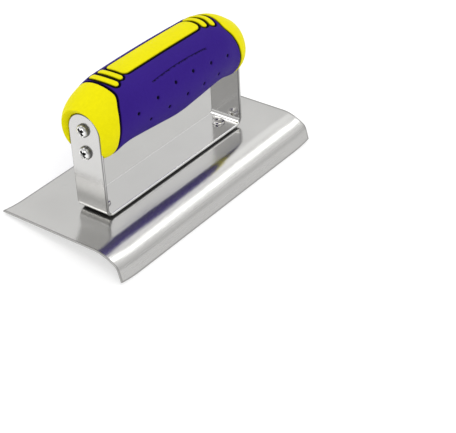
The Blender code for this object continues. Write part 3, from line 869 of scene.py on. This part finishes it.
def make_grip(material):
    """The sleeve, cut out round the trim, with its dimples and engraved lines."""
    trims = trim_loops()
    edge_x, turn = cap_line()
    right = np.stack([edge_x, turn * CHART_RADIUS], axis=1)
    left = right * (-1, 1)
    field = np.vstack([right, left[::-1]])

    def trim_distance(points):
        """How far points are from the nearest trim or cap; below zero on one of them."""
        best = np.full(len(points), 1e9)
        for loop in trims:
            gap = distance_to(points, loop)
            best = np.minimum(best, np.where(within(points, loop), -gap, gap))
        inside = within(points, field)
        for line in (right, left):
            gap = distance_to(points, line, closed=False)
            best = np.minimum(best, np.where(inside, gap, -gap))
        return best

    sheet = Sheet()
    for distance, _ in GRIP_PROFILE:
        for loop in trims:
            shifted = loop + outward(loop) * distance
            sheet.line(shifted, keep=trim_distance(shifted) > distance - 0.03)
        for line, side in ((right, 1), (left, -1)):
            normal = outward(line, closed=False)
            normal = normal * np.sign(normal[:, :1]) * -side
            shifted = line + normal * distance
            shifted[0, 1], shifted[-1, 1] = line[0, 1], line[-1, 1]
            sheet.line(shifted, closed=False, keep=trim_distance(shifted) > distance - 0.03)
            if distance == GRIP_PROFILE[0][0]:
                border = shifted if side > 0 else np.vstack([border, shifted[::-1]])
    spots = dimple_centres()
    for spot in spots:
        for radius, _ in DIMPLE_PROFILE[1:]:
            around = np.linspace(0, 2 * math.pi, 19)[:-1]
            sheet.line(spot + radius * np.stack([np.cos(around), np.sin(around)], axis=1))
        sheet.points.append(tuple(spot))
    engraved = grip_lines()
    for line in engraved:
        sheet.line(line, closed=False)
        away = outward(line, closed=False)
        away = away * np.sign(away[:, 1:] * line[:, 1:])
        for profile, side in ((LINE_UPPER, -1), (LINE_LOWER, 1)):
            for distance, _ in profile[1:]:
                sheet.line(line + away * distance * side, closed=False)
    rows = np.linspace(-math.pi, math.pi, 73) * CHART_RADIUS
    columns = np.linspace(-47.0, 47.0, 60)
    sheet.fill(columns, rows, clear=0.42)
    for row in (rows[0], rows[-1]):
        sheet.points += [(x, row) for x in columns if abs(x) < abs(edge_x[0]) - 2.0]
    windows = [loop + outward(loop) * GRIP_PROFILE[0][0] for loop in trims]

    def on_grip(places):
        keep = within(places, border)
        for window in windows:
            keep &= ~within(places, window)
        return keep

    points, faces = sheet.mesh(on_grip)
    depth = fall(GRIP_PROFILE, trim_distance(points))
    # painted shade in the channels round the trim and caps, in the dimples, and as a painted shadow above
    # each line
    recess = np.clip((depth - 0.12) / 0.5, 0, 1)
    hollow = fall(DIMPLE_PROFILE, closest(points, spots))
    groove = np.zeros(len(points))
    shadow = np.zeros(len(points))
    for line in engraved:
        gap = distance_to(points, line, closed=False)
        below = np.abs(points[:, 1]) > np.interp(points[:, 0], line[:, 0], np.abs(line[:, 1]))
        upper, lower = fall(LINE_UPPER, gap), fall(LINE_LOWER, gap)
        groove = np.maximum(groove, np.where(below, lower, upper))
        shadow = np.maximum(shadow, np.where(below, 0.0, upper / LINE_DEPTH))
    recess = np.maximum(recess, np.maximum(np.clip(hollow / 0.6, 0, 1), shadow))
    depth = np.maximum(depth, np.maximum(hollow, groove))
    bm = bmesh.new()
    add_slab(bm, points, faces, depth, GRIP_WALL, recess)
    seam = [v for v in bm.verts if abs(v.co.y) < 0.01 and v.co.z < 40]
    bmesh.ops.remove_doubles(bm, verts=seam, dist=0.02)
    drop_inner_walls(bm)
    finish_piece("handle_grip_sleeve", bm, material, "handle_grip", sharp=60)


def drop_inner_walls(bm):
    """Removes the pairs of faces left back to back where the sleeve's seam was joined."""
    seen = {}
    double = []
    for face in bm.faces:
        key = frozenset(face.verts)
        if key in seen:
            double += [face, seen[key]]
        seen[key] = face
    bmesh.ops.delete(bm, geom=list(set(double)), context="FACES")
    bmesh.ops.recalc_face_normals(bm, faces=bm.faces)


def add_pad(bm, loop):
    """One piece of hard trim, its edge rounded and its foot sunk in the spine."""
    sheet = Sheet()
    for distance, _ in TRIM_PROFILE:
        sheet.line(loop - outward(loop) * distance)
    xs, ys = (np.arange(column.min(), column.max(), 1.4) for column in loop.T)
    sheet.fill(xs, ys, clear=0.4)
    points, faces = sheet.mesh(lambda middles: within(middles, loop))
    depth = fall(TRIM_PROFILE, distance_to(points, loop))
    # painted shade on the trim's edge where it falls away
    add_slab(bm, points, faces, depth, TRIM_WALL, depth)


def to_cap_chart(points):
    way = unit(points - CAP_HEART)
    side = np.linalg.norm(way[:, 1:], axis=1)
    angle = np.arccos(np.clip(way[:, 0], -1, 1))
    return way[:, 1:] / np.maximum(side, 1e-9)[:, None] * angle[:, None] * CAP_CHART


def from_cap_chart(places):
    angle = np.linalg.norm(places, axis=1) / CAP_CHART
    side = places / np.maximum(np.linalg.norm(places, axis=1), 1e-9)[:, None]
    return np.column_stack([np.cos(angle), side * np.sin(angle)[:, None]])


def bisect(test, low, high):
    """The distances at which a test that is true near and false far changes over."""
    for _ in range(40):
        middle = (low + high) / 2
        near = test(middle)
        low = np.where(near, middle, low)
        high = np.where(near, high, middle)
    return (low + high) / 2


def leg_distance(points):
    """How far points are from the middle line of a leg, seen along the handle."""
    above = np.maximum(points[:, 2] - CROWN_Z, 0.0)
    return np.hypot(points[:, 1], above)


def cap_surface(places):
    """The cap's outer form with the flared mouth of its pocket, both blended by a soft edge."""
    ways = from_cap_chart(places)
    count = len(places)
    zero, far = np.zeros(count), np.full(count, CAP_REACH)
    skin = bisect(lambda r: fullness(CAP_HEART + r[:, None] * ways) < 1, zero, far)

    def clear(r):
        spot = CAP_HEART + r[:, None] * ways
        mouth = STRAP_HALF_WIDTH + POCKET_MARGIN + POCKET_FLARE * (spot[:, 0] - POCKET_MOUTH)
        return (leg_distance(spot) > mouth) | (spot[:, 0] < POCKET_MOUTH)

    flare = np.where(clear(far), 2 * CAP_REACH, bisect(clear, zero, far))
    share = np.maximum(POCKET_ROUNDING - np.abs(skin - flare), 0) / POCKET_ROUNDING
    reach = np.minimum(skin, flare) - share**2 * POCKET_ROUNDING / 4
    return CAP_HEART + reach[:, None] * ways


def pocket_loop():
    """The pocket's edge: up one side of its mouth, over the crown, down, and back along its floor's edge."""
    wide = STRAP_HALF_WIDTH + POCKET_MARGIN

    def underside(x, y):
        middle, half, high = section(x)
        return middle - high * np.sqrt(np.maximum(1 - (y / half) ** 2, 0))

    foot = float(underside(np.array([POCKET_MOUTH]), wide)[0])
    heights = np.linspace(foot, CROWN_Z, 12)
    up = np.stack([np.full(12, POCKET_MOUTH), np.full(12, -wide), heights], axis=1)
    angles = np.linspace(math.pi, 0, 41)[1:]
    arch = (wide * np.cos(angles), CROWN_Z + wide * np.sin(angles))
    crown = np.stack([np.full(40, POCKET_MOUTH), *arch], axis=1)
    down = up[::-1][1:] * (1, -1, 1)
    xs = np.linspace(POCKET_MOUTH, POCKET_FLOOR, 5)[1:]
    side = np.stack([xs, np.full(4, wide), underside(xs, wide)], axis=1)
    ys = np.linspace(wide, -wide, 25)[1:]
    floor_x = np.full(24, POCKET_FLOOR)
    floor = np.stack([floor_x, ys, underside(floor_x, ys)], axis=1)
    back = side[::-1][1:] * (1, -1, 1)
    return np.vstack([up, crown, down, side, floor, back])


def add_cap(bm, sign):
    """One end cap, closed, with its pocket."""
    layer = mark_layer(bm)
    edge_x, turn = cap_line()
    rim = skin_point(edge_x[:-1], turn[:-1])
    along = unit(np.roll(rim, -1, axis=0) - np.roll(rim, 1, axis=0))
    into = np.cross(along, skin_normal(rim))
    into = into * np.sign(into[:, :1])
    sheet = Sheet()
    border = to_cap_chart(rim)
    sheet.line(border)
    for distance, _ in TRIM_PROFILE[1:]:
        sheet.line(to_cap_chart(rim + into * distance))
    pocket = pocket_loop()
    mouth = anticlockwise(to_cap_chart(pocket))
    if not np.allclose(mouth, to_cap_chart(pocket)):
        pocket = pocket[::-1]
    sheet.line(mouth)
    for distance in (0.25, 0.6):
        around = mouth + outward(mouth) * distance
        sheet.line(around, keep=within(around, border))
    steps = np.arange(-31, 31.1, 0.85)
    sheet.fill(steps, steps, clear=0.38)
    places, faces = sheet.mesh(lambda middles: within(middles, border) & ~within(middles, mouth))
    outer = cap_surface(places)
    gaps = np.linalg.norm(places[:, None, :] - mouth[None, :, :], axis=2)
    on_mouth = gaps.min(axis=1) < 1e-3
    outer[on_mouth] = pocket[gaps.argmin(axis=1)[on_mouth]]
    on_rim = closest(places, border) < 1e-3
    depth = fall(TRIM_PROFILE, np.where(on_rim, 0.0, closest(outer, rim)))
    outer = outer - skin_normal(outer) * depth[:, None]
    mirror = np.array((sign, 1, 1))
    verts = {}
    # painted shade on the cap's rim where it falls away towards the grip
    for index in sorted({index for face in faces for index in face}):
        verts[index] = bm.verts.new(outer[index] * mirror)
        verts[index][layer] = float(depth[index])
    for face in faces:
        bm.faces.new([verts[index] for index in face])
    # painted shade: the cap's hidden inner faces and the wall under its rim are fully dark
    tip = bm.verts.new(mirror * CAP_TIP)
    tip[layer] = 1.0
    waist, foot, floor_ring = {}, {}, {}
    for start, end in rim_loops(faces):
        if on_rim[start] and on_rim[end]:
            for index in (start, end):
                if index not in foot:
                    down = skin_normal(outer[index : index + 1])[0]
                    waist[index] = bm.verts.new((outer[index] - down * CAP_WAIST) * mirror)
                    foot[index] = bm.verts.new((outer[index] - down * CAP_FOOT) * mirror)
                    waist[index][layer] = foot[index][layer] = 1.0
            bm.faces.new((verts[end], verts[start], waist[start], waist[end]))
            bm.faces.new((waist[end], waist[start], foot[start], foot[end]))
            bm.faces.new((foot[end], foot[start], tip))
        else:
            for index in (start, end):
                x, y, z = outer[index]
                if abs(x - POCKET_FLOOR) < 1e-6:
                    floor_ring[index] = verts[index]
                elif index not in floor_ring:
                    floor_ring[index] = bm.verts.new((sign * POCKET_FLOOR, y, z))
            corners = list(dict.fromkeys((verts[end], verts[start], floor_ring[start], floor_ring[end])))
            if len(corners) > 2:
                bm.faces.new(corners)
    links = {start: end for start, end in rim_loops(faces) if start in floor_ring and end in floor_ring}
    ring = [min(floor_ring)]
    while links[ring[-1]] != ring[0]:
        ring.append(links[ring[-1]])
    bm.faces.new([floor_ring[index] for index in reversed(ring)])


def add_spine(bm):
    """The hidden core that joins the caps and the trim under the grip."""
    layer = mark_layer(bm)
    turns = np.linspace(0, 2 * math.pi, 65)[:-1]
    rows = []
    for x in np.linspace(-SPINE_HALF_LENGTH, SPINE_HALF_LENGTH, 40):
        spots = skin_point(np.full(64, x), turns, SPINE_DEPTH)
        rows.append([bm.verts.new(spot) for spot in spots])
    grid_faces(bm, rows, closed=True)
    bm.faces.new(rows[0])
    bm.faces.new(rows[-1][::-1])
    # painted shade: the spine, seen only at the floor of the channels, is fully dark
    for vertex in sum(rows, []):
        vertex[layer] = 1.0


def make_core(material):
    bm = bmesh.new()
    for loop in trim_loops():
        add_pad(bm, loop)
    add_cap(bm, -1)
    add_cap(bm, 1)
    add_spine(bm)
    bmesh.ops.recalc_face_normals(bm, faces=bm.faces)
    finish_piece("handle_moulding", bm, material, "handle_core", sharp=55)


# Surroundings


def make_floor():
    bm = bmesh.new()
    bmesh.ops.create_grid(bm, x_segments=1, y_segments=1, size=6.0)
    floor = add_object("studio_floor", bm)
    n = Nodes("pale_floor")
    cloud = n.between(n.noise(9.0, 3.0, 0.5), 0.3, 0.7, 0.0, 1.0)
    n.join(n.blend(cloud, (0.58, 0.58, 0.58), (0.6, 0.6, 0.6)), n.shader.inputs["Base Color"])
    n.shader.inputs["Emission Color"].default_value = (1.0, 1.0, 1.0, 1.0)
    n.shader.inputs["Emission Strength"].default_value = 0.46
    n.shader.inputs["Roughness"].default_value = 0.9
    n.join(n.bump(n.noise(700.0, 3.0, 0.6), 0.0001, 0.2), n.shader.inputs["Normal"])
    floor.data.materials.append(n.material)


def make_world():
    """An even white studio, a little brighter towards +X."""
    world = bpy.data.worlds.new("studio")
    bpy.context.scene.world = world
    world.use_nodes = True
    tree = world.node_tree
    background = tree.nodes["Background"]
    background.inputs["Color"].default_value = (1.0, 1.0, 1.0, 1.0)
    way = tree.nodes.new("ShaderNodeSeparateXYZ")
    tree.links.new(tree.nodes.new("ShaderNodeTexCoord").outputs["Generated"], way.inputs[0])
    fade = tree.nodes.new("ShaderNodeMapRange")
    tree.links.new(way.outputs["X"], fade.inputs["Value"])
    for socket, value in zip(RANGE_SOCKETS, (-0.6, 0.7, 0.66, 0.88)):
        fade.inputs[socket].default_value = value
    tree.links.new(fade.outputs["Result"], background.inputs["Strength"])


def add_softbox(name, place, aim, size, power, roll):
    light = bpy.data.lights.new(name, "AREA")
    light.shape = "RECTANGLE"
    light.size, light.size_y = size
    light.energy = power
    holder = add_object(name, light)
    holder.location = place
    holder.rotation_mode = "QUATERNION"
    facing = (Vector(aim) - Vector(place)).to_track_quat("-Z", "Y")
    holder.rotation_quaternion = facing @ Quaternion((0, 0, 1), math.radians(roll))


def make_camera():
    azimuth, elevation, roll = (math.radians(angle) for angle in CAMERA_ANGLES)
    level = Matrix.Rotation(azimuth, 4, "Z") @ Matrix.Rotation(math.pi / 2 - elevation, 4, "X")
    data = bpy.data.cameras.new("camera")
    data.sensor_width = 36.0
    data.lens = CAMERA_LENS
    data.clip_start = 0.01
    data.clip_end = 50.0
    camera = add_object("camera", data)
    turn = STANDING.to_3x3().normalized().to_4x4() @ level @ Matrix.Rotation(roll, 4, "Z")
    camera.matrix_world = Matrix.Translation(STANDING @ Vector(CAMERA_PLACE)) @ turn
    bpy.context.scene.camera = camera


def main():
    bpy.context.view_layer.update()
    bpy.context.scene.view_settings.view_transform = "Standard"
    make_world()
    make_camera()
    make_floor()
    for softbox in SOFTBOXES:
        add_softbox(*softbox)
    sheet = steel("polished_sheet", (0.64, 0.635, 0.62), 0.17, "X", veil=0.06)
    bar = steel("polished_bar", (0.64, 0.635, 0.625), 0.07, "X", uneven=0.03, dark=(0.05, 0.05, 0.05))
    rivet = steel("rivet_bright", (0.58, 0.57, 0.56), 0.2, "Y")
    plated = steel("zinc_bright", (0.88, 0.88, 0.87), 0.12, "Y", dark=(0.01, 0.01, 0.01))
    yellow = plastic("yellow_moulding", (0.80, 0.73, 0.002), 0.55, 0.000012, 0.05)
    purple = plastic("purple_moulding", (0.033, 0.0110, 0.205), 0.55, 0.00003, 0.06)
    make_blade(sheet)
    make_strap(bar)
    for side, sign in SIDES:
        make_rivet(side, sign, rivet)
    source = screw_mesh()
    for side, sign in SIDES:
        for level, height in SCREW_HEIGHTS.items():
            make_screw(f"handle_screw_{side}_{level}", source, sign, height, plated)
    make_core(yellow)
    make_grip(purple)


main()
